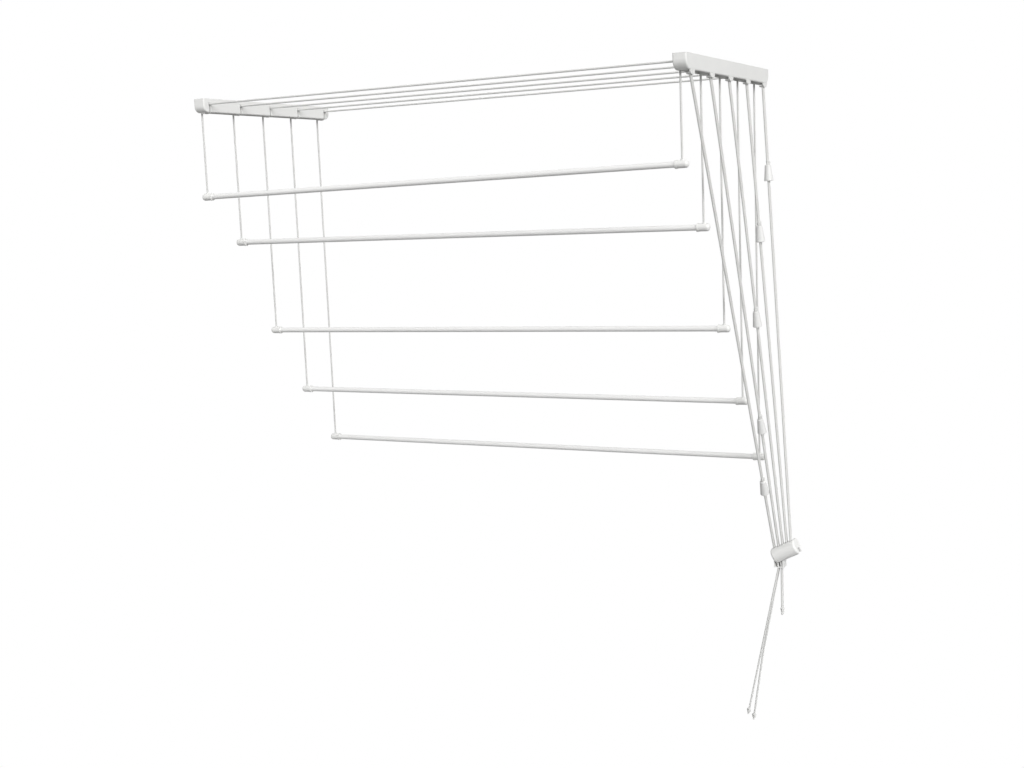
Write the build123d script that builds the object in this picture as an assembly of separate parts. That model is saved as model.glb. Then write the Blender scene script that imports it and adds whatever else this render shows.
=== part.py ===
from build123d import *
import math
import os

# Ceiling clothes airer: two pulley rails, five rods that are raised and lowered one by one,
# ten cords and a wall-mounted cord holder. Millimetres, +Z up.
# Origin: middle of the left rail's ceiling face. X runs along the rods, Y along the rails, and
# the ceiling is Z = 0. The wall that carries the cord holder is the plane Y = WALL_Y.

# Driving dimensions
RODS = 5
PITCH = 95.0  # from rod to rod
SPAN = 970.0  # from rail to rail
LEFT_RAIL, RIGHT_RAIL, RAIL_WIDTH, RAIL_HEIGHT = 414.0, 430.0, 24.0, 26.0
RAIL_WALL, RAIL_TOP = 2.0, 3.0
RAIL_EDGE_R, LEFT_NOSE_R, RIGHT_NOSE_R = 2.5, 12.0, 16.0
SCREW_SPACING, SCREW_HOLE_R, SCREW_BOSS_R, SCREW_BOSS_H = 285.0, 2.4, 6.0, 3.0

CORD_R = 1.75
TWIN = 5.5  # between the two cords of one rod, once both have passed the right rail

WHEEL_R = 8.0  # from a roller's axis to the middle of the cord in its groove
FLANGE_R, GROOVE_R, BORE_R, PIN_R = 10.0, 5.95, 1.55, 1.5
AXLE_Z = -18.0
SINGLE_W, DOUBLE_W = 9.0, 12.5
CHEEK_T, CHEEK_GAP, CHEEK_X = 2.2, 0.4, 10.0
CORD_SLOT_W, CORD_SLOT_TOP = 5.2, -7.2
EYE_Z, EYE_T = -32.5, 2.5  # underside and thickness of the cord eyes under the right rail
EYE_INNER_X, EYE_SIDE, EYE_CORNER_R, EYE_LOBE_R = 3.4, 4.0, 2.0, 5.5
EYE_HOLE_L, EYE_HOLE_W = TWIN + 6.0, 5.0
EYE_HOLE_SHIFT = (-0.3, 0.4)  # the cords turn inwards and towards the wall in the hole

DROPS = [146.0, 250.0, 429.0, 571.0, 691.0]  # from the rails' underside down to each rod's axis
LEFT_LOWER = [13.0, 0.0, 6.0, 0.0, 0.0]  # how much lower each rod's left end hangs
ROD_R, ROD_WALL = 5.0, 1.0
CAP_TIP, CAP_BACK, CAP_R, CAP_COLLAR_R, CAP_COLLAR_W = 11.0, 12.0, 6.6, 7.2, 3.5
CAP_BORE_R, CAP_CAVITY_R, CAP_HOLE_R, TUBE_INSET = 5.05, 4.2, 2.1, 5.0
CAP_BOSS_R, CAP_BOSS_TOP = 3.4, 7.8
CAP_NOSE = 5.0  # length of the rounded tip
KNOT_R, KNOT_H = 3.2, 5.0

BEAD_L, BEAD_TOP_R, BEAD_R, BEAD_BASE_R, BEAD_HOLE_R = 29.0, 5.6, 7.6, 8.3, 2.1
BEAD_AT = [809.0, 651.0, 428.0, 267.0, 156.0]  # along the twin cords, from the eye to each bead

# Cord holder. U runs along its long side, tilted up towards +X, and V across it.
WALL_Y = 222.0
CORD_PLANE_Y = 208.0  # the twin cords pass through the holder here
HOLDER_X, HOLDER_Z, HOLDER_TILT = 1005.5, -901.0, 27.0
COVER_U0, COVER_U1, COVER_V, COVER_T = -26.5, 25.0, 15.0, 2.0
COVER_AXIS_Y = 207.0  # the half round's axis
COVER_EDGE_R = 4.0
NOTCH_PITCH, NOTCH_W, NOTCH_FRONT_Y = 9.0, 6.2, 202.4
MOUTH_FRONT_Y, MOUTH_V = 201.8, -3.0  # the cover is open behind and below these
PLATE_T, PLATE_GAP = 4.0, 0.1
SHELF_V0, SHELF_V1, SHELF_U0, SHELF_U1 = 2.0, 4.5, -6.0, 22.5
SHELF_EXITS = [1.5, 10.0, 18.5]  # along U, where the other three rods' cords leave
LIP_Y = 202.2  # front of the shelf and of the spout
SPOUT_X0, SPOUT_X1, SPOUT_TOP, SPOUT_Z, SPOUT_T = 983.0, 1001.6, -900.0, -934.0, 2.2
SPOUT_MOUTH_Z = -919.0  # top of the spout's front and sides
SPOUT_EXITS = [991.2, 996.8]  # where the twin cords of rods 1 and 2 leave
PASS_LENGTH, PASS_PLAY = 10.0, 1.2  # of the cord passages through the shelf and the spout
WALL_SCREWS, WALL_SCREW_R = 28.0, 2.1

TAIL_LEAN = Vector(-0.2115, 0, -0.9774)  # the long tail keeps a lean from the way it was pulled
TAIL_1_LENGTH = 297.0  # of the first cord
TAIL_1_KNEE, TAIL_1_KNEE_R = Vector(-36.0, 0, -181.0), 40.0  # the second cord bends here
TAIL_1_FAR = Vector(-54.5, 0, -302.0)  # and ends here, from where it starts
TAIL_2_LENGTH = 79.0
STOPPED_TAIL = 3.2  # rods 3 to 5 are let right down, so their knots lie against the shelf
SMALL_KNOT = (3.4, 3.4, 5.0)
TWIN_KNOT = (3.6, 5.5, 4.8)
KNOT_TOP_SHARE = 0.8  # a knot is cut off flat this far up its half height
MEETING_GAP = 0.05  # between a cord and the knot or cord that it meets


def row_y(i):
    """The plane of rod i, counted from 0 at the front."""
    return (i - (RODS - 1) / 2) * PITCH


def holder_point(u, v, y):
    """A point of the holder's own U, V frame."""
    a = math.radians(HOLDER_TILT)
    return Vector(
        HOLDER_X + u * math.cos(a) - v * math.sin(a),
        y,
        HOLDER_Z + u * math.sin(a) + v * math.cos(a),
    )


def holder_box(u0, u1, v0, v1, y0, y1):
    """A box along U, V and Y, turned to the holder's tilt."""
    box = Box(u1 - u0, y1 - y0, v1 - v0)
    box = Pos((u0 + u1) / 2, (y0 + y1) / 2, (v0 + v1) / 2) * box
    return Pos(HOLDER_X, 0, HOLDER_Z) * Rot(0, -HOLDER_TILT, 0) * box


def block(x0, x1, y0, y1, z0, z1):
    """A box from its limits."""
    return Pos((x0 + x1) / 2, (y0 + y1) / 2, (z0 + z1) / 2) * Box(x1 - x0, y1 - y0, z1 - z0)


def rod_z(i):
    """Height of a rod's axis at its right cord."""
    return -RAIL_HEIGHT - DROPS[i]


def tilt(i, shape):
    """Turns a rod's piece about its right cord, so that its left end hangs lower."""
    angle = math.degrees(math.atan2(LEFT_LOWER[i], SPAN))
    pivot = Pos(SPAN - WHEEL_R, 0, rod_z(i))
    return pivot * Rot(0, -angle, 0) * pivot.inverse() * shape


def eye_point(i, y_offset):
    """Where a cord turns from the right rail towards the holder."""
    return Vector(SPAN + WHEEL_R, row_y(i) + y_offset, EYE_Z + EYE_T / 2)


def notch_point(i, y_offset):
    """Where a cord enters the top of the holder."""
    u = (i - (RODS - 1) / 2) * NOTCH_PITCH
    return holder_point(u, COVER_V, CORD_PLANE_Y + y_offset - TWIN / 2)


def exit_point(i, y_offset):
    """Where a cord's last stretch starts, under the spout or under the shelf."""
    y = CORD_PLANE_Y + y_offset - TWIN / 2
    if i < len(SPOUT_EXITS):
        return Vector(SPOUT_EXITS[i], y, SPOUT_Z)
    return holder_point(SHELF_EXITS[i - len(SPOUT_EXITS)], SHELF_V0, y)


# Rails


def rail(length, nose_r, centre_y, wheel_width):
    """A channel, open below, with two cheeks for each roller."""
    body = Pos(0, 0, -RAIL_HEIGHT / 2) * Box(RAIL_WIDTH, length, RAIL_HEIGHT)
    low_ends = body.edges().filter_by(Axis.X).group_by(Axis.Z)[0]
    body = fillet(low_ends, nose_r)
    body = fillet(body.edges().filter_by(Axis.Z), RAIL_EDGE_R)
    half_x, half_y = RAIL_WIDTH / 2 - RAIL_WALL, length / 2 - RAIL_WALL
    hollow = block(-half_x, half_x, -half_y, half_y, -RAIL_HEIGHT, -RAIL_TOP)
    hollow_ends = hollow.edges().filter_by(Axis.X).group_by(Axis.Z)[0]
    body -= fillet(hollow_ends, nose_r - RAIL_WALL)
    lobe = Pos(0, 0, AXLE_Z) * Rot(90, 0, 0) * Cylinder(CHEEK_X, CHEEK_T)
    cheek = lobe + block(-CHEEK_X, CHEEK_X, -CHEEK_T / 2, CHEEK_T / 2, AXLE_Z, -RAIL_TOP)
    cheek -= Pos(0, 0, AXLE_Z) * Rot(90, 0, 0) * Cylinder(BORE_R, 2 * CHEEK_T)
    for i in range(RODS):
        for side in (-1, 1):
            off = side * (wheel_width / 2 + CHEEK_GAP + CHEEK_T / 2)
            body += Pos(0, row_y(i) + centre_y + off, 0) * cheek
    for side in (-1, 1):
        at = Pos(0, side * SCREW_SPACING / 2, -RAIL_TOP - SCREW_BOSS_H / 2)
        body += at * Cylinder(SCREW_BOSS_R, SCREW_BOSS_H)
        body -= at * Cylinder(SCREW_HOLE_R, 4 * SCREW_BOSS_H)
    return body


def cord_slot(x, y):
    """The gap in a rail's side wall that a level cord passes through."""
    half = CORD_SLOT_W / 2
    deep = 2 * RAIL_WALL
    return block(x - deep / 2, x + deep / 2, y - half, y + half, -RAIL_HEIGHT - 1, CORD_SLOT_TOP)


def left_rail():
    body = rail(LEFT_RAIL, LEFT_NOSE_R, 0, SINGLE_W)
    for i in range(RODS):
        body -= cord_slot(RAIL_WIDTH / 2 - RAIL_WALL / 2, row_y(i))
    return body


def cord_eye(y):
    """A tab with a long hole, on a lobe of the rail's outer wall."""
    outer = RAIL_WIDTH / 2
    half_y = DOUBLE_W / 2 + EYE_SIDE
    tab = block(EYE_INNER_X, outer, y - half_y, y + half_y, EYE_Z, EYE_Z + EYE_T)
    tab = fillet(tab.edges().filter_by(Axis.Z).group_by(Axis.X)[0], EYE_CORNER_R)
    post = block(outer - RAIL_WALL, outer, y - half_y, y + half_y, EYE_Z, -RAIL_HEIGHT + 1)
    lobe = block(0, outer, y - half_y, y + half_y, EYE_Z, -RAIL_HEIGHT + 1)
    lobe = fillet(lobe.edges().filter_by(Axis.X).group_by(Axis.Z)[0], EYE_LOBE_R)
    hole = extrude(SlotOverall(EYE_HOLE_L, EYE_HOLE_W, rotation=90), 2 * EYE_T)
    shift_x, shift_y = EYE_HOLE_SHIFT
    return (tab + post) & (lobe - Pos(WHEEL_R + shift_x, y + shift_y, EYE_Z - EYE_T / 2) * hole)


def right_rail():
    body = rail(RIGHT_RAIL, RIGHT_NOSE_R, TWIN / 2, DOUBLE_W)
    for i in range(RODS):
        body -= cord_slot(-RAIL_WIDTH / 2 + RAIL_WALL / 2, row_y(i) + TWIN)
        body += cord_eye(row_y(i) + TWIN / 2)
    return Pos(SPAN, 0, 0) * body


def roller(outline):
    """A grooved wheel turning about Y. The outline lists half width and radius pairs."""
    wheel = make_face(Polyline(outline, close=True))
    return Rot(0, 0, 90) * revolve(Plane.XY * wheel, Axis.X)


def single_roller():
    w = SINGLE_W / 2
    edge = [(-w, FLANGE_R), (-3.2, FLANGE_R), (-2.1, GROOVE_R), (2.1, GROOVE_R), (3.2, FLANGE_R)]
    return roller([(-w, BORE_R)] + edge + [(w, FLANGE_R), (w, BORE_R)])


def double_roller():
    w, ridge = DOUBLE_W / 2, FLANGE_R - 1
    left = [(-w, FLANGE_R), (-5.3, FLANGE_R), (-4.6, GROOVE_R), (-0.9, GROOVE_R), (-0.4, ridge)]
    right = [(-x, r) for x, r in reversed(left)]
    return roller([(-w, BORE_R)] + left + right + [(w, BORE_R)])


def pins(x, centre_y, wheel_width):
    """One short axle pin for each roller, held in the cheeks."""
    length = wheel_width + 2 * (CHEEK_GAP + CHEEK_T) + 1
    pin = Rot(90, 0, 0) * Cylinder(PIN_R, length)
    return Compound([Pos(x, row_y(i) + centre_y, AXLE_Z) * pin for i in range(RODS)])


# Rods


def rod_tube(i):
    x0, x1 = -WHEEL_R + TUBE_INSET, SPAN - WHEEL_R - TUBE_INSET
    turn = Pos((x0 + x1) / 2, row_y(i), rod_z(i)) * Rot(0, 90, 0)
    return tilt(i, turn * (Cylinder(ROD_R, x1 - x0) - Cylinder(ROD_R - ROD_WALL, x1 - x0)))


def end_cap():
    """The cap of a rod's left end. The cord comes down into it at X = 0."""
    collar = CAP_BACK - CAP_COLLAR_W
    dome = -CAP_TIP + CAP_NOSE
    outline = Polyline(
        (dome, CAP_R), (collar, CAP_R), (collar, CAP_COLLAR_R), (CAP_BACK, CAP_COLLAR_R),
        (CAP_BACK, 0), (-CAP_TIP, 0),
    )
    nose = Bezier((-CAP_TIP, 0), (-CAP_TIP, CAP_R * 0.75), (dome - 0.4 * CAP_NOSE, CAP_R), (dome, CAP_R))
    cap = revolve(make_face(outline + nose), Axis.X)
    cap += Pos(0, 0, CAP_BOSS_TOP / 2 + 2) * Cylinder(CAP_BOSS_R, CAP_BOSS_TOP - 4)
    bore = Pos((TUBE_INSET + CAP_BACK) / 2, 0, 0) * Rot(0, 90, 0)
    cap -= bore * Cylinder(CAP_BORE_R, CAP_BACK - TUBE_INSET)
    cap -= Rot(0, 90, 0) * Cylinder(CAP_CAVITY_R, 2 * TUBE_INSET + 0.1)
    return cap - Pos(0, 0, CAP_BOSS_TOP) * Cylinder(CAP_HOLE_R, 2 * CAP_BOSS_TOP)


def rod_caps(i):
    cap = end_cap()
    left = Pos(-WHEEL_R, row_y(i), rod_z(i)) * cap
    right = Pos(SPAN - WHEEL_R, row_y(i), rod_z(i)) * Rot(0, 0, 180) * cap
    return Compound([tilt(i, left), tilt(i, right)])


def rod_knots(i):
    """The knots that hold the two cords inside the caps."""
    knot = Cylinder(KNOT_R, KNOT_H)
    knot = fillet(knot.edges().filter_by(GeomType.CIRCLE), 1)
    left = Pos(-WHEEL_R, row_y(i), rod_z(i) - LEFT_LOWER[i]) * knot
    return Compound([left, Pos(SPAN - WHEEL_R, row_y(i), rod_z(i)) * knot])


# Cords


def tube_along(path, start, direction):
    """A round cord along a path, and its volume against section times length."""
    section = Plane(origin=start, z_dir=direction) * Circle(CORD_R)
    solid = sweep(section, path=path)
    share = solid.volume / (math.pi * CORD_R**2 * path.length)
    print(f"  cord {path.length:.1f} long, volume over section times length {share:.4f}")
    return solid


def twin_path(i, y_offset):
    """The stretch that both cords of a rod share: down to the eye, to the holder, to its exit."""
    top = Vector(SPAN + WHEEL_R, row_y(i) + y_offset, AXLE_Z)
    return [top, eye_point(i, y_offset), notch_point(i, y_offset), exit_point(i, y_offset)]


def long_cord(i):
    """Up from the left drop, over both rollers and down to the holder."""
    y = row_y(i)
    level = AXLE_Z + WHEEL_R
    start = Vector(-WHEEL_R, y, AXLE_Z - 1)
    corners = [Vector(-WHEEL_R, y, level), Vector(SPAN + WHEEL_R, y + TWIN, level)]
    points = [start] + corners + twin_path(i, TWIN)[1:]
    radii = [WHEEL_R] * (len(points) - 2)
    return tube_along(Wire(FilletPolyline(*points, radius=radii).edges()), start, (0, 0, 1))


def short_cord(i):
    """Up from the right drop, half way round the right roller and down to the holder."""
    y = row_y(i)
    start = Vector(SPAN - WHEEL_R, y, AXLE_Z - 1)
    side = Vector(SPAN - WHEEL_R, y, AXLE_Z)
    over = Vector(SPAN, y, AXLE_Z + WHEEL_R)
    points = twin_path(i, 0)
    turn = Line(start, side) + ThreePointArc(side, over, points[0])
    rest = FilletPolyline(*points, radius=[WHEEL_R] * (len(points) - 2))
    return tube_along(Wire((turn + rest).edges()), start, (0, 0, 1))


def cord_drops(i):
    """The two upright cords between a rod and its rollers."""
    drops = []
    for x, lower in ((-WHEEL_R, LEFT_LOWER[i]), (SPAN - WHEEL_R, 0)):
        top, low = AXLE_Z - 1, rod_z(i) - lower + KNOT_H / 2 + MEETING_GAP
        drops.append(Pos(x, row_y(i), (top + low) / 2) * Cylinder(CORD_R, top - low))
    return Compound(drops)


def bead_centre(i):
    start, end = eye_point(i, TWIN / 2), notch_point(i, TWIN / 2)
    return start + (end - start).normalized() * BEAD_AT[i]


def stop_bead(i):
    """A bell-shaped bead on the twin cords."""
    start, end = eye_point(i, TWIN / 2), notch_point(i, TWIN / 2)
    half = BEAD_L / 2
    side = Spline((BEAD_TOP_R, half - 1), (BEAD_R, -half / 2), (BEAD_BASE_R, -half + 0.6))
    ends = Polyline((BEAD_BASE_R, -half + 0.6), (BEAD_BASE_R - 0.6, -half), (0, -half), (0, half),
                    (BEAD_TOP_R - 1, half), (BEAD_TOP_R, half - 1))
    bead = revolve(Plane.XZ * make_face(side + ends), Axis.Z)
    bead = Plane(origin=bead_centre(i), z_dir=start - end) * bead
    for off in (0, TWIN):
        a, b = eye_point(i, off), notch_point(i, off)
        bead -= Plane(origin=a, z_dir=b - a) * Pos(0, 0, BEAD_AT[i]) * Cylinder(BEAD_HOLE_R, 3 * BEAD_L)
    return bead


# Cord ends below the holder


def tail_ends(i):
    """Where each tail's two cords end, and where its knots sit."""
    if i == 0:
        return [exit_point(i, 0) + TAIL_LEAN * TAIL_1_LENGTH, exit_point(i, TWIN) + TAIL_1_FAR]
    length = TAIL_2_LENGTH if i == 1 else STOPPED_TAIL
    return [exit_point(i, off) - Vector(0, 0, length) for off in (0, TWIN)]


def sideways(run):
    """How far a cord's flat end reaches past its middle, when the cord leans."""
    return CORD_R * math.hypot(run.X, run.Y) / run.length


def cord_tail(i):
    """The two cords from the holder's exit to their knots."""
    tails = []
    for off, end in zip((0, TWIN), tail_ends(i)):
        start = exit_point(i, off)
        path = Line(start, end)
        if i == 0 and off == TWIN:
            path = FilletPolyline(start, start + TAIL_1_KNEE, end, radius=TAIL_1_KNEE_R)
        run = path % 0
        gap = sideways(start - notch_point(i, off)) + sideways(run) + MEETING_GAP
        below = Plane(origin=start + run * gap, z_dir=run)
        cord = sweep(Plane(origin=start, z_dir=run) * Circle(CORD_R), path=Wire(path.edges()))
        tails.append(split(cord, bisect_by=below, keep=Keep.TOP))
    return Compound(tails)


def tail_knot(i):
    """Each end of the long tail has its own knot. On the others one knot holds both cords."""
    ends = tail_ends(i)
    if i == 0:
        low = Vector(0, 0, -sideways(TAIL_LEAN) - MEETING_GAP)
        return Compound([cord_end_knot(e + low, SMALL_KNOT) for e in ends])
    return cord_end_knot((ends[0] + ends[1]) / 2 - Vector(0, 0, MEETING_GAP), TWIN_KNOT)


def cord_end_knot(top, radii):
    """A knot with a flat top, just under the end of its cord."""
    knot = Pos(top.X, top.Y, top.Z - radii[2] * KNOT_TOP_SHARE) * scale(Sphere(1), by=radii)
    wide = 4 * max(radii)
    return knot - block(top.X - wide, top.X + wide, top.Y - wide, top.Y + wide, top.Z, top.Z + wide)


# Cord holder


def twin_slot(high, low):
    """A prism of space for the twin cords between two of their points, and a little past both."""
    run = low - high
    start = high - run * 0.3
    width = 2 * CORD_R + PASS_PLAY
    hole = SlotOverall(TWIN + width, width, rotation=90)
    plane = Plane(origin=start, x_dir=(run.Z, 0, -run.X), z_dir=run)
    return extrude(plane * hole, run.length * 1.6)


def holder_base():
    """Plate with two screw holes, a shelf that stops three knots, and the spout."""
    inset = COVER_T + PLATE_GAP
    front = WALL_Y - PLATE_T
    plate = holder_box(COVER_U0 + inset, COVER_U1 - inset, -COVER_V + inset, COVER_V - inset, front, WALL_Y)
    shelf = holder_box(SHELF_U0, SHELF_U1, SHELF_V0, SHELF_V1, LIP_Y, front)
    tongue = block(SPOUT_X0 + 2 * SPOUT_T, SPOUT_X1, front, WALL_Y, SPOUT_Z, SPOUT_TOP)
    spout = block(SPOUT_X0, SPOUT_X1, LIP_Y, WALL_Y, SPOUT_Z, SPOUT_MOUTH_Z)
    inner = block(SPOUT_X0 + SPOUT_T, SPOUT_X1 - SPOUT_T, 0, front, SPOUT_Z + SPOUT_T, HOLDER_Z)
    base = plate + shelf + tongue + (spout - inner)
    for i in range(RODS):
        low = exit_point(i, TWIN / 2)
        high = notch_point(i, TWIN / 2)
        base -= twin_slot(low + (high - low).normalized() * PASS_LENGTH, low)
    for side in (-1, 1):
        hole = Rot(90, 0, 0) * Cylinder(WALL_SCREW_R, 4 * PLATE_T)
        base -= Pos(HOLDER_X + side * WALL_SCREWS / 2, WALL_Y, HOLDER_Z) * hole
    return base


def holder_cover():
    """A half-round shell with closed ends, notched above and open at the back below."""
    def shell(grow, u0, u1, y_back):
        r = COVER_V - grow
        drum = Pos((u0 + u1) / 2, COVER_AXIS_Y, 0) * Rot(0, 90, 0) * Cylinder(r, u1 - u0)
        sides = block(u0, u1, COVER_AXIS_Y, y_back, -r, r)
        return drum + sides

    outer = shell(0, COVER_U0, COVER_U1, WALL_Y)
    outer = fillet(outer.edges().filter_by(GeomType.CIRCLE), COVER_EDGE_R)
    cover = outer - shell(COVER_T, COVER_U0 + COVER_T, COVER_U1 - COVER_T, WALL_Y + 1)
    cover = Pos(HOLDER_X, 0, HOLDER_Z) * Rot(0, -HOLDER_TILT, 0) * cover
    for i in range(RODS):
        u = (i - (RODS - 1) / 2) * NOTCH_PITCH
        half = NOTCH_W / 2
        low, high = COVER_V - 2 * COVER_T, COVER_V + 2 * COVER_T
        cover -= holder_box(u - half, u + half, low, high, NOTCH_FRONT_Y, WALL_Y + 1)
    far = 4 * COVER_V
    return cover - holder_box(-far, far, -far, MOUTH_V, MOUTH_FRONT_Y, WALL_Y + 1)


# Output


def save(name, shape):
    export_step(shape, f"parts/{name}.step")


os.makedirs("parts", exist_ok=True)
save("left_rail", left_rail())
save("right_rail", right_rail())
save("left_axle_pins", pins(0, 0, SINGLE_W))
save("right_axle_pins", pins(SPAN, TWIN / 2, DOUBLE_W))
save("holder_base", holder_base())
save("holder_cover", holder_cover())
print(f"cord radii: {WHEEL_R} over the rollers, through the eyes and at the holder")
for i in range(RODS):
    n = i + 1
    save(f"left_roller_{n}", Pos(0, row_y(i), AXLE_Z) * single_roller())
    save(f"right_roller_{n}", Pos(SPAN, row_y(i) + TWIN / 2, AXLE_Z) * double_roller())
    save(f"rod_tube_{n}", rod_tube(i))
    save(f"rod_caps_{n}", rod_caps(i))
    save(f"rod_knots_{n}", rod_knots(i))
    save(f"cord_run_{n}", Compound([long_cord(i), short_cord(i)]))
    save(f"cord_drops_{n}", cord_drops(i))
    save(f"stop_bead_{n}", stop_bead(i))
    save(f"cord_tail_{n}", cord_tail(i))
    save(f"tail_knot_{n}", tail_knot(i))
    reach = notch_point(i, TWIN / 2) - eye_point(i, TWIN / 2)
    print(f"rod {n}: eye to holder {reach.length:.1f}, direction {reach.normalized()}")
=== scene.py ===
"""Ceiling clothes airer: finishes, cords, knots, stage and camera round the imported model."""

import math

import bmesh
import bpy
import numpy as np
from mathutils import Matrix, Vector


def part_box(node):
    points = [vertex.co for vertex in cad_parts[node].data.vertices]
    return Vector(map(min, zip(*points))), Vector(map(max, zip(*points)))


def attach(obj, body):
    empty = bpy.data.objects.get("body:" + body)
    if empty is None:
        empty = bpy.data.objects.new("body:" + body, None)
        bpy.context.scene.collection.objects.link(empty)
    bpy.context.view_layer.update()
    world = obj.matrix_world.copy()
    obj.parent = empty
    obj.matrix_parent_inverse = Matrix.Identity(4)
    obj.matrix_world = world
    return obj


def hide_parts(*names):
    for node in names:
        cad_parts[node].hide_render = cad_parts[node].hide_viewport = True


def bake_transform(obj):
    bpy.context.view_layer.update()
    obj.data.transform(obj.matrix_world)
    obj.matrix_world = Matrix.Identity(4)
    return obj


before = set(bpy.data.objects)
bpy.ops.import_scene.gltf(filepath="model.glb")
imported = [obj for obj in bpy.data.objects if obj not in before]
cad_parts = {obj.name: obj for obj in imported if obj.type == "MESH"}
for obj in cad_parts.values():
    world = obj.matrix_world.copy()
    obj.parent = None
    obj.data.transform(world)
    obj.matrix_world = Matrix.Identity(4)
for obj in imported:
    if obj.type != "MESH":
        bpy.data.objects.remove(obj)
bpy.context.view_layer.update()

bl_info = {
    "name": "Ceiling clothes airer",
    "version": (1, 0, 0),
    "blender": (4, 5, 0),
    "location": "3D View > Sidebar > Airer",
    "description": "Cords, knots, finishes and stage for a ceiling-hung clothes airer",
    "category": "Object",
}

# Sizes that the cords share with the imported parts, in metres. Rod 1 is the front one
RODS = (1, 2, 3, 4, 5)
FIXED = "fixed_parts"
PITCH = 0.095
SPAN = 0.970
WHEEL = 0.008  # from a roller's axis to the middle of the cord
AXLE_Z = -0.018
TWIN = 0.0055  # between the two cords of one rod
EYE_Z = -0.03125
CORD_PLANE_Y = 0.208
HOLDER = Vector((1.0055, 0.208, -0.901))
HOLDER_TILT = math.radians(27)
NOTCH_PITCH = 0.009
NOTCH_V = 0.015
SHELF_V = 0.002
SHELF_EXITS = {3: 0.0015, 4: 0.0100, 5: 0.0185}
SPOUT_EXITS = {1: 0.9912, 2: 0.9968}
SPOUT_Z = -0.934
BEADS = {1: 0.809, 2: 0.651, 3: 0.428, 4: 0.267, 5: 0.156}  # along the twin cords from the eye
BEAD_HALF = 0.0145
LEFT_LOWER = {1: 0.013, 2: 0.0, 3: 0.006, 4: 0.0, 5: 0.0}  # left ends of the rods
LEAN = Vector((-0.2115, 0.0, -0.9774))
LONG_TAIL = 0.297
LONG_TAIL_KNEE = Vector((-0.036, 0.0, -0.181))  # the second cord of the long tail bends here
LONG_TAIL_FAR = Vector((-0.0545, 0.0, -0.302))  # and ends here, from where it starts
SHORT_TAIL = 0.079
STOPPED_TAIL = 0.0032
NEAR_ROLLER = 0.019  # from a roller's corner to the next point of a cord's route
NEAR_EYE = 0.0035  # the same at an eye or a notch
SHARP = math.radians(60)  # edges sharper than this aren't smoothed

# Knots. A share is of the knot's half length along the cord
KNOT_SWING = 0.55  # of a knot's cord from its ring, in radii of the ring
SMALL_KNOT_PAST = 0.7  # share from a tail's end to the middle of its knot
TWIN_KNOT_PAST = 0.85  # the same for a knot in two cords
BEAD_KNOT_PAST = 0.8  # share from a bead's end to the middle of its knot
SMALL_TAG_START = 0.5  # share from a knot's middle to where its tag is measured from
TWIN_TAG_START = 0.6  # the same for a knot in two cords
TAG_SPREAD = 0.0035  # further apart at their tips than at their tops, for two tags
TAG_TOP = 0.6  # apart at their tops, as a share of that
TAG_ROWS = (0.0, 0.5, 0.78, 0.86, 0.93, 0.98, 1.0)  # along a tag, as shares of its length
TIP_START = 0.78  # where a tag's tip begins to round
TIP_CLOSE = 0.94  # 1 would bring the tip to a point

# Stage
SENSOR_WIDTH = 36.0  # in millimetres
CLIP = (0.05, 200.0)
KEY_TRAVEL = Vector((-0.66, 0.58, -0.48))  # the way the key light shines
KEY_SPREAD = math.radians(35)
HORIZON = (-0.35, -0.05)  # heights between which the surroundings brighten

# Sockets of a Mix node that mixes colours
MIX_FACTOR, MIX_A, MIX_B, MIX_RESULT = 0, 6, 7, 2


# Settings


class AirerFinish(bpy.types.PropertyGroup):
    plastic: bpy.props.FloatVectorProperty(
        name="Plastic", description="Rails, holder and rod caps", subtype="COLOR", default=(0.80, 0.80, 0.785)
    )
    roller: bpy.props.FloatVectorProperty(
        name="Rollers", description="Grooved wheels", subtype="COLOR", default=(0.72, 0.72, 0.705)
    )
    bead: bpy.props.FloatVectorProperty(
        name="Beads", description="Stop beads", subtype="COLOR", default=(0.76, 0.76, 0.75)
    )
    paint: bpy.props.FloatVectorProperty(
        name="Rod paint", description="Powder coat of the rods", subtype="COLOR", default=(0.82, 0.82, 0.81)
    )
    cord: bpy.props.FloatVectorProperty(
        name="Cord", description="Crown of the braid", subtype="COLOR", default=(0.77, 0.77, 0.755)
    )
    # Painted shade: the darker colour painted into the valleys between the braid's strands
    cord_valley_shade: bpy.props.FloatVectorProperty(
        name="Cord valleys", description="Between the strands", subtype="COLOR", default=(0.50, 0.50, 0.49)
    )
    steel: bpy.props.FloatVectorProperty(
        name="Steel", description="Axle pins", subtype="COLOR", default=(0.62, 0.62, 0.61)
    )


class AirerCord(bpy.types.PropertyGroup):
    radius: bpy.props.FloatProperty(
        name="Radius", description="Of every cord", default=0.00175, min=0.001, unit="LENGTH"
    )
    sides: bpy.props.IntProperty(
        name="Sides", description="Faces round a cord", default=14, min=6
    )
    strands: bpy.props.IntProperty(
        name="Strands", description="Strands that cross one turn of the braid", default=6, min=2
    )
    lay: bpy.props.FloatProperty(
        name="Braid pitch", description="Length of one diamond of the braid", default=0.0026, unit="LENGTH"
    )
    small_knot: bpy.props.FloatVectorProperty(
        name="Small knot", description="Half sizes of a knot in one cord", subtype="XYZ",
        default=(0.0044, 0.0044, 0.0046),
    )
    twin_knot: bpy.props.FloatVectorProperty(
        name="Twin knot", description="Half sizes of a knot in two cords", subtype="XYZ",
        default=(0.0038, 0.0062, 0.0052),
    )
    tag: bpy.props.FloatProperty(
        name="Tag end", description="Cord left over under a knot", default=0.007, unit="LENGTH"
    )
    hidden_tag: bpy.props.FloatProperty(
        name="Tag in the holder", description="The same inside the holder", default=0.003, unit="LENGTH"
    )


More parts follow.
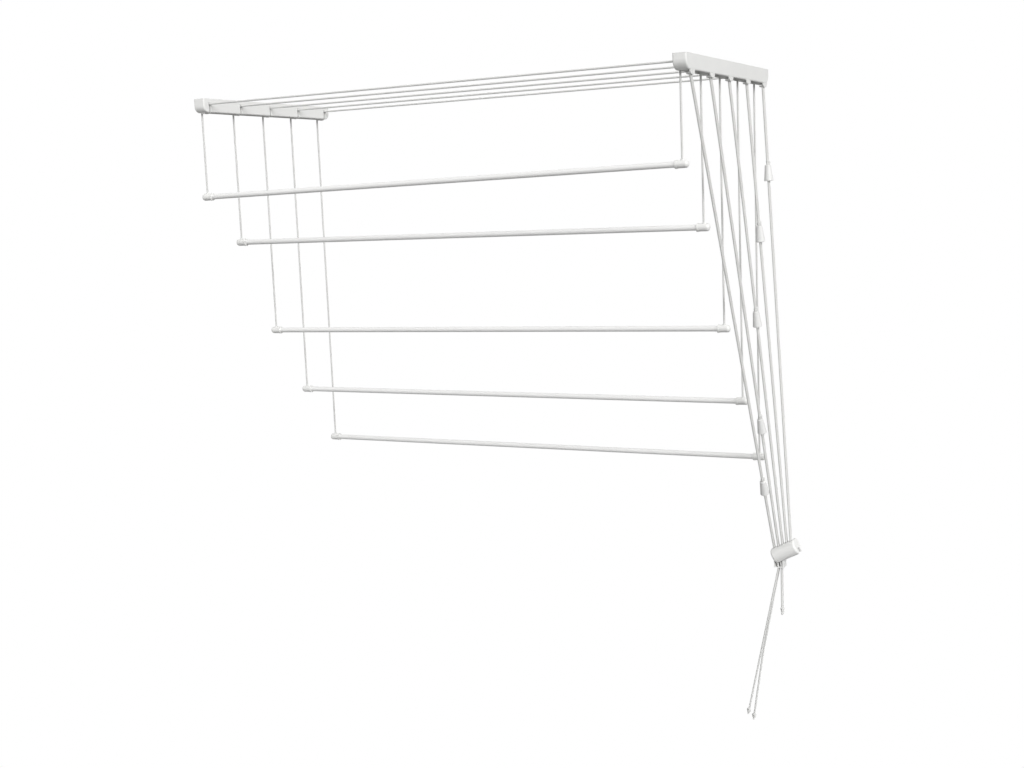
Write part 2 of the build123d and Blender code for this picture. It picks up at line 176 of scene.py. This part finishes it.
class AirerStage(bpy.types.PropertyGroup):
    camera_place: bpy.props.FloatVectorProperty(
        name="Camera", description="Where the camera stands", subtype="XYZ",
        default=(1.7624, -2.3401, -0.2260),
    )
    heading: bpy.props.FloatProperty(
        name="Heading", description="From +Y towards +X", subtype="ANGLE", default=math.radians(-28.56)
    )
    tilt: bpy.props.FloatProperty(
        name="Tilt", description="Above the horizon", subtype="ANGLE", default=math.radians(-8.25)
    )
    roll: bpy.props.FloatProperty(
        name="Roll", description="Turn about the line of sight", subtype="ANGLE", default=math.radians(-2.48)
    )
    focal: bpy.props.FloatProperty(
        name="Focal length", description="In millimetres, on a 36 mm sensor", default=49.13
    )
    shift: bpy.props.FloatVectorProperty(
        name="Shift", description="Of the lens, sideways and up", size=2, default=(0.0214, 0.0246)
    )
    backdrop: bpy.props.FloatProperty(
        name="Backdrop", description="From the middle to each side of the white surroundings", default=25.0,
        unit="LENGTH",
    )
    sky: bpy.props.FloatProperty(
        name="Light from above", description="Brightness of the upper surroundings", default=0.55
    )
    ground: bpy.props.FloatProperty(
        name="Light from below", description="Brightness of the lower surroundings", default=0.30
    )
    key: bpy.props.FloatProperty(
        name="Key light", description="Strength of the soft light from the right", default=2.65
    )


# Surfaces


def fan_uv(a, b, v):
    """UV of a cap's triangles: two corners on the ring and one half way between them."""
    v = np.full(len(a), v)
    return np.stack([a, v, b, v, (a + b) / 2, v], 1).reshape(-1, 2)


def outward_grid(name, rings, around, along, capped):
    """A mesh of closed rings. rings is rows x sides x 3: row i, side j is a point of the surface.

    around and along are the UV of each side and row. A cap is a fan to the middle of an end ring."""
    rows, sides = rings.shape[:2]
    i, j = (a.ravel() for a in np.mgrid[0 : rows - 1, 0:sides])
    k = (j + 1) % sides
    quads = np.stack([i * sides + j, i * sides + k, (i + 1) * sides + k, (i + 1) * sides + j], 1)
    u0, u1 = around[j], around[j + 1]
    v0, v1 = along[i], along[i + 1]
    uv = np.stack([np.stack([u0, u1, u1, u0], 1), np.stack([v0, v0, v1, v1], 1)], 2).reshape(-1, 2)
    points = rings.reshape(-1, 3)
    faces = quads.tolist()
    if capped:
        middles = np.stack([rings[0].mean(0), rings[-1].mean(0)])
        j = np.arange(sides)
        k = (j + 1) % sides
        first = np.stack([k, j, np.full(sides, rows * sides)], 1)
        top = (rows - 1) * sides
        last = np.stack([top + j, top + k, np.full(sides, rows * sides + 1)], 1)
        points = np.concatenate([points, middles])
        faces += first.tolist() + last.tolist()
        u0, u1 = around[j], around[j + 1]
        uv = np.concatenate([uv, fan_uv(u1, u0, along[0]), fan_uv(u0, u1, along[-1])])
    mesh = bpy.data.meshes.new(name)
    mesh.from_pydata(points.tolist(), [], faces)
    layer = mesh.uv_layers.new(name="UVMap")
    layer.data.foreach_set("uv", uv.astype(np.float32).ravel())
    mesh.shade_smooth()
    mesh.set_sharp_from_angle(angle=SHARP)
    mesh.update()
    piece = bpy.data.objects.new(name, mesh)
    bpy.context.scene.collection.objects.link(piece)
    return piece


def unit(v):
    """Each vector divided by its length."""
    return v / np.linalg.norm(v, axis=-1, keepdims=True)


def directions(line):
    """The direction of a line at each of its points, from the points on either side."""
    return unit(np.gradient(line, axis=0))


def arc_length(line):
    """How far along a line each of its points is: the running sum of its steps."""
    steps = np.linalg.norm(np.diff(line, axis=0), axis=1)
    return np.concatenate([[0.0], np.cumsum(steps)])


def tube(name, line, radius, sides, ends=None):
    """A round tube: p(s, a) = line(s) + radius * (n(s) cos a + b(s) sin a).

    n is the line's direction crossed with +Y, and b the direction crossed with n, so the line never
    runs along Y. ends scales the radius at each point of the line, for a rounded tip."""
    t = directions(line)
    n = unit(np.cross(t, (0.0, 1.0, 0.0)))
    b = np.cross(t, n)
    a = np.linspace(0, 2 * math.pi, sides + 1)
    reach = radius * (np.ones(len(line)) if ends is None else ends)[:, None, None]
    turn = np.cos(a[:-1])[None, :, None] * n[:, None, :] + np.sin(a[:-1])[None, :, None] * b[:, None, :]
    rings = line[:, None, :] + reach * turn
    return outward_grid(name, rings, a / (2 * math.pi), arc_length(line), True)


def knot(name, centre, axis, half, radius, sides, turns=96):
    """An overhand knot: a tube along a curve that winds three times through a ring and twice round it.

    The curve is ((1 + q cos 3t) cos 2t, (1 + q cos 3t) sin 2t, q sin 3t), where q is KNOT_SWING,
    stretched to the half sizes. Its third axis lies along the cord."""
    q = KNOT_SWING
    t = np.linspace(0, 2 * math.pi, turns, endpoint=False)
    wide = 1 + q * np.cos(3 * t)
    curve = np.stack([wide * np.cos(2 * t), wide * np.sin(2 * t), q * np.sin(3 * t)], 1)
    normal = np.stack([np.cos(3 * t) * np.cos(2 * t), np.cos(3 * t) * np.sin(2 * t), np.sin(3 * t)], 1)
    reach = (np.array(half) - radius) / np.array([1 + q, 1 + q, q])
    line = curve * reach
    d = unit(np.roll(line, -1, 0) - np.roll(line, 1, 0))
    n = unit(normal - (normal * d).sum(1)[:, None] * d)
    b = np.cross(d, n)
    a = np.linspace(0, 2 * math.pi, sides + 1)
    cos, sin = np.cos(a[:-1])[None, :, None], np.sin(a[:-1])[None, :, None]
    rings = line[:, None] + radius * (cos * n[:, None] + sin * b[:, None])
    rings = np.concatenate([rings, rings[:1]])
    turn = np.array(Vector(axis).to_track_quat("Z", "X").to_matrix())
    rings = rings @ turn.T + np.array(centre)
    along = arc_length(np.concatenate([line, line[:1]]))
    piece = outward_grid(name, rings, a / (2 * math.pi), along, False)
    weld(piece)
    return piece


def weld(piece):
    """Joins a closed tube's last ring to its first."""
    work = bmesh.new()
    work.from_mesh(piece.data)
    bmesh.ops.remove_doubles(work, verts=work.verts, dist=1e-7)
    work.to_mesh(piece.data)
    work.free()


def spline_line(points, finest=10):
    """A quadratic spline that these points control. It starts at the first and ends at the last."""
    curve = bpy.data.curves.new("route", "CURVE")
    curve.dimensions = "3D"
    curve.resolution_u = finest
    spline = curve.splines.new("NURBS")
    spline.points.add(len(points) - 1)
    spline.points.foreach_set("co", np.array([[*p, 1.0] for p in points]).ravel())
    spline.order_u = 3
    spline.use_endpoint_u = True
    holder = bpy.data.objects.new("route", curve)
    mesh = bpy.data.meshes.new_from_object(holder)
    line = np.zeros(len(mesh.vertices) * 3)
    mesh.vertices.foreach_get("co", line)
    bpy.data.objects.remove(holder)
    bpy.data.curves.remove(curve)
    bpy.data.meshes.remove(mesh)
    return line.reshape(-1, 3)


# Finishes


class Signal:
    """A node's output, for arithmetic between shader values."""

    def __init__(self, graph, socket):
        self.graph, self.socket = graph, socket

    def _maths(self, operation, *values):
        return self.graph.node("ShaderNodeMath", {"operation": operation}, dict(enumerate(values)))

    def __add__(self, other):
        return self._maths("ADD", self, other)

    def __radd__(self, other):
        return self._maths("ADD", other, self)

    def __sub__(self, other):
        return self._maths("SUBTRACT", self, other)

    def __rsub__(self, other):
        return self._maths("SUBTRACT", other, self)

    def __mul__(self, other):
        return self._maths("MULTIPLY", self, other)

    def __rmul__(self, other):
        return self._maths("MULTIPLY", other, self)

    def __pow__(self, other):
        return self._maths("POWER", self, other)

    def wave(self):
        """The absolute sine: one bulge for each half turn."""
        return self._maths("ABSOLUTE", self._maths("SINE", self))


class Graph:
    """A node tree, and the one method that adds nodes to it."""

    def __init__(self, tree):
        self.tree = tree

    def node(self, kind, settings=None, inputs=None, output=0):
        """Adds a node: its settings first, then the values or links of its sockets."""
        made = self.tree.nodes.new(kind)
        for name, value in (settings or {}).items():
            setattr(made, name, value)
        for name, value in (inputs or {}).items():
            if isinstance(value, Signal):
                self.tree.links.new(value.socket, made.inputs[name])
            else:
                made.inputs[name].default_value = value
        return Signal(self, made.outputs[output])


class Finish(Graph):
    """A material. Its uniform values are given by name when it is made."""

    def __init__(self, name, **fixed):
        self.material = bpy.data.materials.new(name)
        self.material.use_nodes = True
        super().__init__(self.material.node_tree)
        self.shader = self.tree.nodes["Principled BSDF"]
        for socket, value in fixed.items():
            self.shader.inputs[socket.replace("_", " ")].default_value = value

    def place(self, output="Object"):
        """The Object coordinates, or the UV map."""
        return self.node("ShaderNodeTexCoord", output=output)

    def noise(self, scale, detail=2.0, vector=None):
        """Soft noise on the Object coordinates, or on the vector that is given."""
        sockets = {"Vector": vector or self.place(), "Scale": scale, "Detail": detail}
        return self.node("ShaderNodeTexNoise", {}, sockets)

    def stretched(self, scale):
        """The Object coordinates, each multiplied by its own scale."""
        return self.node("ShaderNodeMapping", {}, {"Vector": self.place(), "Scale": scale})

    def span(self, signal, low, high):
        """Carries a value from 0 to 1 onto low to high."""
        return self.node("ShaderNodeMapRange", {}, {"Value": signal, "To Min": low, "To Max": high})

    def mix(self, mask, dark, light):
        """Goes from one colour to the other as the mask goes from 0 to 1."""
        sockets = {MIX_FACTOR: mask, MIX_A: (*dark, 1.0), MIX_B: (*light, 1.0)}
        return self.node("ShaderNodeMix", {"data_type": "RGBA"}, sockets, output=MIX_RESULT)

    def feed(self, **signals):
        """Links signals to the shader's sockets by name."""
        for socket, signal in signals.items():
            self.tree.links.new(signal.socket, self.shader.inputs[socket.replace("_", " ")])

    def bump(self, height, distance, strength=1.0):
        """A normal that follows a height, whose full rise is the distance in metres."""
        sockets = {"Height": height, "Distance": distance, "Strength": strength}
        return self.node("ShaderNodeBump", {}, sockets)


def shade(colour, factor):
    """A colour made darker or lighter."""
    return tuple(min(1.0, c * factor) for c in colour)


def moulded_plastic(name, colour, roughness, grain=0.00006):
    """Moulded plastic: fine spark-eroded grain, a slow change of gloss, and a little dust."""
    finish = Finish(name, IOR=1.46)
    cloud = finish.noise(scale=22.0, detail=3.0)
    fine = finish.noise(scale=1500.0)
    speck = finish.noise(scale=260.0, detail=4.0)
    tone = finish.span(cloud * 0.7 + speck * 0.3, 0.0, 1.0)
    finish.feed(
        Base_Color=finish.mix(tone, shade(colour, 0.93), shade(colour, 1.04)),
        Roughness=finish.span(cloud * 0.6 + fine * 0.4, roughness - 0.08, roughness + 0.1),
        Normal=finish.bump(fine * 0.6 + speck * 0.4, grain),
    )
    return finish.material


def powder_coat(name, colour):
    """Powder-coated tube: orange peel, and long faint drifts of gloss along the rod."""
    finish = Finish(name, IOR=1.5)
    along = finish.stretched((0.12, 1.0, 1.0))
    peel = finish.noise(scale=420.0, vector=along)
    drift = finish.noise(scale=40.0, detail=3.0, vector=along)
    finish.feed(
        Base_Color=finish.mix(drift, shade(colour, 0.95), shade(colour, 1.03)),
        Roughness=finish.span(drift, 0.26, 0.42),
        Normal=finish.bump(peel, 0.00012, strength=0.8),
    )
    return finish.material


def drawn_steel(name, colour):
    """Drawn steel pin: streaks along its length."""
    finish = Finish(name, Metallic=1.0)
    line = finish.noise(scale=3200.0, vector=finish.stretched((1.0, 0.03, 1.0)))
    finish.feed(
        Base_Color=finish.mix(line, shade(colour, 0.85), shade(colour, 1.1)),
        Roughness=finish.span(line, 0.25, 0.45),
        Normal=finish.bump(line, 0.00002),
    )
    return finish.material


def braided_cord(name, crown, valley_shade, strands, lay, along_z):
    """Braided cord: two sets of strands that wind opposite ways and pass over and under each other.

    a and b count strands along each winding. A diamond's height is |sin a| * |sin b|, and the colour goes
    from the valley colour, a painted shade between the strands, to the crown's colour on top. Round the cord
    the UV map gives the turn. Along the cord it gives the length, but a cord that changes length takes its
    height instead, so that the braid isn't stretched."""
    finish = Finish(name, Roughness=0.85, IOR=1.45, Sheen_Weight=0.25, Sheen_Roughness=0.5)
    around = finish.node("ShaderNodeSeparateXYZ", {}, {"Vector": finish.place("UV")})
    if along_z:
        along = finish.node("ShaderNodeSeparateXYZ", {}, {"Vector": finish.place()}, output=2)
    else:
        along = Signal(finish, around.socket.node.outputs[1])
    turn = around * (strands * math.pi)
    rise = along * (math.pi / lay)
    a, b = turn + rise, turn - rise
    height = a.wave() * b.wave()
    fibre = finish.noise(scale=2600.0, detail=3.0)
    soil = finish.noise(scale=60.0, detail=3.0)
    # The braid's height darkens the valleys between the strands towards the valley colour: painted shade. The
    # fibre and soil noise only vary the tone at random
    tone = height**0.5 * 0.8 + fibre * 0.25
    finish.feed(
        Base_Color=finish.mix(tone * (soil * 0.3 + 0.85), valley_shade, crown),
        Normal=finish.bump(height * 0.85 + fibre * 0.15, 0.00025),
    )
    return finish.material


def dress(piece, material):
    """Gives a piece one material."""
    piece.data.materials.clear()
    piece.data.materials.append(material)


def dress_nodes(material, *names):
    """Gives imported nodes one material."""
    for name in names:
        dress(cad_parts[name], material)


# Routes of the cords


def row_y(n):
    """The middle of a rod's row: rod 3 hangs in the middle."""
    return (n - 3) * PITCH


def holder_point(u, v, y):
    """A point of the holder's tilted face, u along it and v across it."""
    c, s = math.cos(HOLDER_TILT), math.sin(HOLDER_TILT)
    return Vector((HOLDER.x + u * c - v * s, y, HOLDER.z + u * s + v * c))


def pair_y(side):
    """The two cords of a rod lie either side of the holder's cord plane."""
    return CORD_PLANE_Y + (side - 0.5) * TWIN


def eye(n, side):
    """Where a cord passes the guide eye under the right rail. Side 0 is the short cord, 1 the long one."""
    return Vector((SPAN + WHEEL, row_y(n) + side * TWIN, EYE_Z))


def notch(n, side):
    """Where a cord enters the top of the holder."""
    return holder_point((n - 3) * NOTCH_PITCH, NOTCH_V, pair_y(side))


def way_out(n, side):
    """Where a cord leaves the holder: by the spout, or stopped by its knot under the shelf."""
    if n in SPOUT_EXITS:
        return Vector((SPOUT_EXITS[n], pair_y(side), SPOUT_Z))
    return holder_point(SHELF_EXITS[n], SHELF_V, pair_y(side))


def towards(a, b, distance):
    """The point this far from a on the way to b."""
    return a + (b - a).normalized() * distance


def corner(before, at, after, near):
    """A corner of a route, with a point close to it on each side."""
    return [towards(at, before, near), at, towards(at, after, near)]


def down_to_holder(n, side, top):
    """From the right roller through the eye and the notch to the way out."""
    e, h, out = eye(n, side), notch(n, side), way_out(n, side)
    return corner(top, e, h, NEAR_EYE) + corner(e, h, out, NEAR_EYE) + [out]


def long_route(n):
    """Up at the left end, level to the right rail, and down to the holder."""
    y, level = row_y(n), AXLE_Z + WHEEL
    left = Vector((-WHEEL, y, level))
    right = Vector((SPAN + WHEEL, y + TWIN, level))
    below = left + Vector((0, 0, -NEAR_ROLLER))
    over = [below, left, towards(left, right, NEAR_ROLLER)]
    turn = [towards(right, left, NEAR_ROLLER), right]
    return over + turn + down_to_holder(n, 1, right)


def short_route(n):
    """Up at the right end, half way round the right roller, and down to the holder."""
    y, level = row_y(n), AXLE_Z + WHEEL
    near = Vector((SPAN - WHEEL, y, level))
    far = Vector((SPAN + WHEEL, y, level))
    return [near + Vector((0, 0, -NEAR_ROLLER)), near, far] + down_to_holder(n, 0, far)


def tail_route(n, side):
    """From the way out to the knot: straight, but for the second cord of the long tail."""
    start = way_out(n, side)
    if n > 1:
        return [start, start - Vector((0, 0, SHORT_TAIL if n == 2 else STOPPED_TAIL))]
    if side == 0:
        return [start, start + LEAN * LONG_TAIL]
    return [start, start + LONG_TAIL_KNEE, start + LONG_TAIL_FAR]


# Operators


def settings():
    """The finishes, the cord's sizes and the stage."""
    scene = bpy.context.scene
    return scene.airer_finish, scene.airer_cord, scene.airer_stage


class AIRER_OT_plastic(bpy.types.Operator):
    """Finishes of the rails, rollers, caps, beads and holder"""

    bl_idname = "airer.plastic"
    bl_label = "Plastic parts"

    def execute(self, context):
        finish, _, _ = settings()
        shell = moulded_plastic("moulded_plastic", tuple(finish.plastic), roughness=0.42)
        wheel = moulded_plastic("roller_plastic", tuple(finish.roller), roughness=0.34)
        bead = moulded_plastic("bead_plastic", tuple(finish.bead), roughness=0.26, grain=0.00003)
        dress_nodes(shell, "left_rail", "right_rail", "holder_base", "holder_cover")
        for n in RODS:
            dress_nodes(shell, f"rod_caps_{n}")
            dress_nodes(wheel, f"left_roller_{n}", f"right_roller_{n}")
            dress_nodes(bead, f"stop_bead_{n}")
        return {"FINISHED"}


class AIRER_OT_metal(bpy.types.Operator):
    """Finishes of the rods and the axle pins"""

    bl_idname = "airer.metal"
    bl_label = "Rods and pins"

    def execute(self, context):
        finish, _, _ = settings()
        paint = powder_coat("rod_powder_coat", tuple(finish.paint))
        dress_nodes(paint, *[f"rod_tube_{n}" for n in RODS])
        dress_nodes(drawn_steel("pin_steel", tuple(finish.steel)), "left_axle_pins", "right_axle_pins")
        return {"FINISHED"}


def cord_finishes():
    """The braid for cords of fixed length, and the one for cords that change length."""
    finish, cord, _ = settings()
    found = [bpy.data.materials.get(name) for name in ("braid", "braid_upright")]
    if all(found):
        return found
    # The crown's colour, and the painted shade of the valleys between the strands
    colours = tuple(finish.cord), tuple(finish.cord_valley_shade)
    return [
        braided_cord("braid", *colours, cord.strands, cord.lay, False),
        braided_cord("braid_upright", *colours, cord.strands, cord.lay, True),
    ]


class AIRER_OT_tails(bpy.types.Operator):
    """The free cord ends below the holder, with their knots"""

    bl_idname = "airer.tails"
    bl_label = "Cord tails"

    def execute(self, context):
        _, cord, _ = settings()
        _, upright = cord_finishes()
        for n in RODS:
            knots = self.own_knots(n, cord) if n == 1 else self.joint_knot(n, cord)
            for side in (0, 1):
                line = np.array(tail_route(n, side))
                piece = tube(f"tail_{n}_{side}", line, cord.radius, cord.sides)
                dress(piece, upright)
                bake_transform(piece)
                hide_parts(f"cord_tail_{n}")
        return {"FINISHED"}

    def own_knots(self, n, cord):
        """A knot and its tag on each of a rod's two tails. Gives the pieces of each tail."""
        made = []
        for side in (0, 1):
            *_, before, end = tail_route(n, side)
            axis = (before - end).normalized()
            half = cord.small_knot[2]
            centre = end - axis * half * SMALL_KNOT_PAST
            tip = centre - axis * (half * SMALL_TAG_START + cord.tag)
            tied = knot(f"end_knot_{n}_{side}", centre, axis, cord.small_knot, cord.radius, cord.sides)
            made.append([tied, self.tag(f"tag_{n}_{side}", centre, tip, cord)])
        for pieces in made:
            self.belong(n, pieces)
        return made

    def joint_knot(self, n, cord):
        """One knot in both tails of a rod, and its two tags. The pieces go with the first tail."""
        ends = [tail_route(n, side)[-1] for side in (0, 1)]
        half = cord.twin_knot[2]
        centre = (ends[0] + ends[1]) / 2 - Vector((0, 0, half * TWIN_KNOT_PAST))
        made = [knot(f"end_knot_{n}", centre, (0, 0, 1), cord.twin_knot, cord.radius, cord.sides)]
        tag = cord.tag if n in SPOUT_EXITS else cord.hidden_tag
        for side in (0, 1):
            lean = Vector((0, (side - 0.5) * TAG_SPREAD, 0))
            top = centre + lean * TAG_TOP
            tip = top + lean - Vector((0, 0, half * TWIN_TAG_START + tag))
            made.append(self.tag(f"tag_{n}_{side}", top, tip, cord))
        self.belong(n, made)
        return made, ()

    def tag(self, name, top, tip, cord):
        """A short cut end with a heat-rounded tip: its radius falls as a quarter circle."""
        share = np.array(TAG_ROWS)
        line = np.array(top)[None] + share[:, None] * np.array(tip - top)[None]
        past = np.clip((share - TIP_START) / (1 - TIP_START), 0, 1)
        return tube(name, line, cord.radius, cord.sides, np.sqrt(1 - past**2 * TIP_CLOSE))

    def belong(self, n, pieces):
        """Dresses a knot and its tags, and puts them on the body at the end of the tails."""
        braid, _ = cord_finishes()
        for piece in pieces:
            dress(piece, braid)
            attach(piece, f"knot_{n}")
            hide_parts(f"tail_knot_{n}")


class AIRER_OT_runs(bpy.types.Operator):
    """The taut cords over the rollers, through the eyes and down to the holder"""

    bl_idname = "airer.runs"
    bl_label = "Cord runs"

    def execute(self, context):
        _, cord, _ = settings()
        braid, _ = cord_finishes()
        for n in RODS:
            for name, route in (("long", long_route(n)), ("short", short_route(n))):
                piece = tube(f"{name}_cord_{n}", spline_line(route), cord.radius, cord.sides)
                dress(piece, braid)
                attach(piece, FIXED)
                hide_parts(f"cord_run_{n}")
        return {"FINISHED"}


class AIRER_OT_drops(bpy.types.Operator):
    """The upright cords above each rod, which on the real airer grow and shrink as it moves"""

    bl_idname = "airer.drops"
    bl_label = "Upright cords"

    def execute(self, context):
        _, cord, _ = settings()
        braid, upright = cord_finishes()
        for n in RODS:
            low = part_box(f"cord_drops_{n}")[0].z
            for side, x, rise in ((0, -WHEEL, 0.0), (1, SPAN - WHEEL, LEFT_LOWER[n])):
                top = Vector((x, row_y(n), AXLE_Z + WHEEL - NEAR_ROLLER))
                end = Vector((x, row_y(n), low + rise))
                piece = tube(f"drop_{n}_{side}", np.array([top, end]), cord.radius, cord.sides)
                dress(piece, upright)
                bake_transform(piece)
                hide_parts(f"cord_drops_{n}")
            dress_nodes(braid, f"rod_knots_{n}")
        return {"FINISHED"}


class AIRER_OT_bead_knots(bpy.types.Operator):
    """The small knots that hold the stop beads in place"""

    bl_idname = "airer.bead_knots"
    bl_label = "Bead knots"

    def execute(self, context):
        _, cord, _ = settings()
        braid, _ = cord_finishes()
        for n in RODS:
            up_to_knot = BEADS[n] - BEAD_HALF - cord.small_knot[2] * BEAD_KNOT_PAST
            axis = (eye(n, 1) - notch(n, 1)).normalized()
            centre = towards(eye(n, 1), notch(n, 1), up_to_knot)
            piece = knot(f"bead_knot_{n}", centre, axis, cord.small_knot, cord.radius, cord.sides)
            dress(piece, braid)
            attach(piece, f"bead_{n}")
        return {"FINISHED"}


class AIRER_OT_stage(bpy.types.Operator):
    """Camera, backdrop and soft light"""

    bl_idname = "airer.stage"
    bl_label = "Stage"

    def execute(self, context):
        _, _, stage = settings()
        self.camera(context.scene, stage)
        self.backdrop(stage)
        self.surroundings(context.scene, stage)
        self.key(context.scene, stage)
        context.scene.view_settings.view_transform = "Standard"
        return {"FINISHED"}

    def camera(self, scene, stage):
        """A camera turned by its heading, then its tilt, then its roll about the line of sight."""
        sy, cy = math.sin(stage.heading), math.cos(stage.heading)
        st, ct = math.sin(stage.tilt), math.cos(stage.tilt)
        ahead = Vector((sy * ct, cy * ct, st))
        right = Vector((cy, -sy, 0))
        up = right.cross(ahead)
        sr, cr = math.sin(stage.roll), math.cos(stage.roll)
        turned = Matrix((cr * right + sr * up, cr * up - sr * right, -ahead)).transposed()
        data = bpy.data.cameras.new("camera")
        data.lens, data.sensor_width = stage.focal, SENSOR_WIDTH
        data.shift_x, data.shift_y = stage.shift
        data.clip_start, data.clip_end = CLIP
        camera = bpy.data.objects.new("camera", data)
        camera.matrix_world = Matrix.Translation(stage.camera_place) @ turned.to_4x4()
        scene.collection.objects.link(camera)
        scene.camera = camera

    def backdrop(self, stage):
        """A white box round everything, which only the camera sees, so that it lights nothing."""
        x, y, z = (a.ravel() for a in np.mgrid[-1:2:2, -1:2:2, -1:2:2])
        faces = [(0, 1, 3, 2), (4, 6, 7, 5), (0, 4, 5, 1), (2, 3, 7, 6), (0, 2, 6, 4), (1, 5, 7, 3)]
        mesh = bpy.data.meshes.new("backdrop")
        mesh.from_pydata((np.stack([x, y, z], 1) * stage.backdrop).tolist(), [], faces)
        box = bpy.data.objects.new("backdrop", mesh)
        bpy.context.scene.collection.objects.link(box)
        paper = Finish("white_paper", Roughness=1.0, Specular_IOR_Level=0.0, Emission_Strength=1.0)
        paper.shader.inputs["Base Color"].default_value = (0.0, 0.0, 0.0, 1.0)
        paper.shader.inputs["Emission Color"].default_value = (1.0, 1.0, 1.0, 1.0)
        dress(box, paper.material)
        box.visible_diffuse = box.visible_glossy = box.visible_shadow = False

    def surroundings(self, scene, stage):
        """White above the horizon, and dimmer below it."""
        world = bpy.data.worlds.new("studio")
        world.use_nodes = True
        scene.world = world
        graph = Graph(world.node_tree)
        place = graph.node("ShaderNodeTexCoord")
        height = graph.node("ShaderNodeSeparateXYZ", {}, {"Vector": place}, output=2)
        low, high = HORIZON
        ends = {"From Min": low, "From Max": high, "To Min": stage.ground, "To Max": stage.sky}
        smooth = {"interpolation_type": "SMOOTHSTEP"}
        fade = graph.node("ShaderNodeMapRange", smooth, {"Value": height, **ends})
        background = graph.tree.nodes["Background"]
        background.inputs["Color"].default_value = (1, 1, 1, 1)
        graph.tree.links.new(fade.socket, background.inputs["Strength"])

    def key(self, scene, stage):
        """A broad soft light from the front, above and to the right."""
        data = bpy.data.lights.new("key", "SUN")
        data.energy, data.angle = stage.key, KEY_SPREAD
        light = bpy.data.objects.new("key", data)
        light.rotation_euler = KEY_TRAVEL.to_track_quat("-Z", "Y").to_euler()
        scene.collection.objects.link(light)


class AIRER_PT_panel(bpy.types.Panel):
    bl_label = "Clothes airer"
    bl_space_type = "VIEW_3D"
    bl_region_type = "UI"
    bl_category = "Airer"

    def draw(self, context):
        for group in settings():
            for name in group.__annotations__:
                self.layout.prop(group, name)
        for operator in OPERATORS:
            self.layout.operator(operator.bl_idname)


GROUPS = {"airer_finish": AirerFinish, "airer_cord": AirerCord, "airer_stage": AirerStage}
OPERATORS = (
    AIRER_OT_stage, AIRER_OT_tails, AIRER_OT_runs, AIRER_OT_drops, AIRER_OT_bead_knots, AIRER_OT_plastic,
    AIRER_OT_metal,
)


def register():
    for made in (*GROUPS.values(), *OPERATORS, AIRER_PT_panel):
        bpy.utils.register_class(made)
    for name, group in GROUPS.items():
        setattr(bpy.types.Scene, name, bpy.props.PointerProperty(type=group))


def unregister():
    for name in GROUPS:
        delattr(bpy.types.Scene, name)
    for made in (AIRER_PT_panel, *reversed(OPERATORS), *reversed(GROUPS.values())):
        bpy.utils.unregister_class(made)


def main():
    register()
    for operator in OPERATORS:
        group, name = operator.bl_idname.split(".")
        getattr(getattr(bpy.ops, group), name)()


if __name__ == "__main__":
    main()
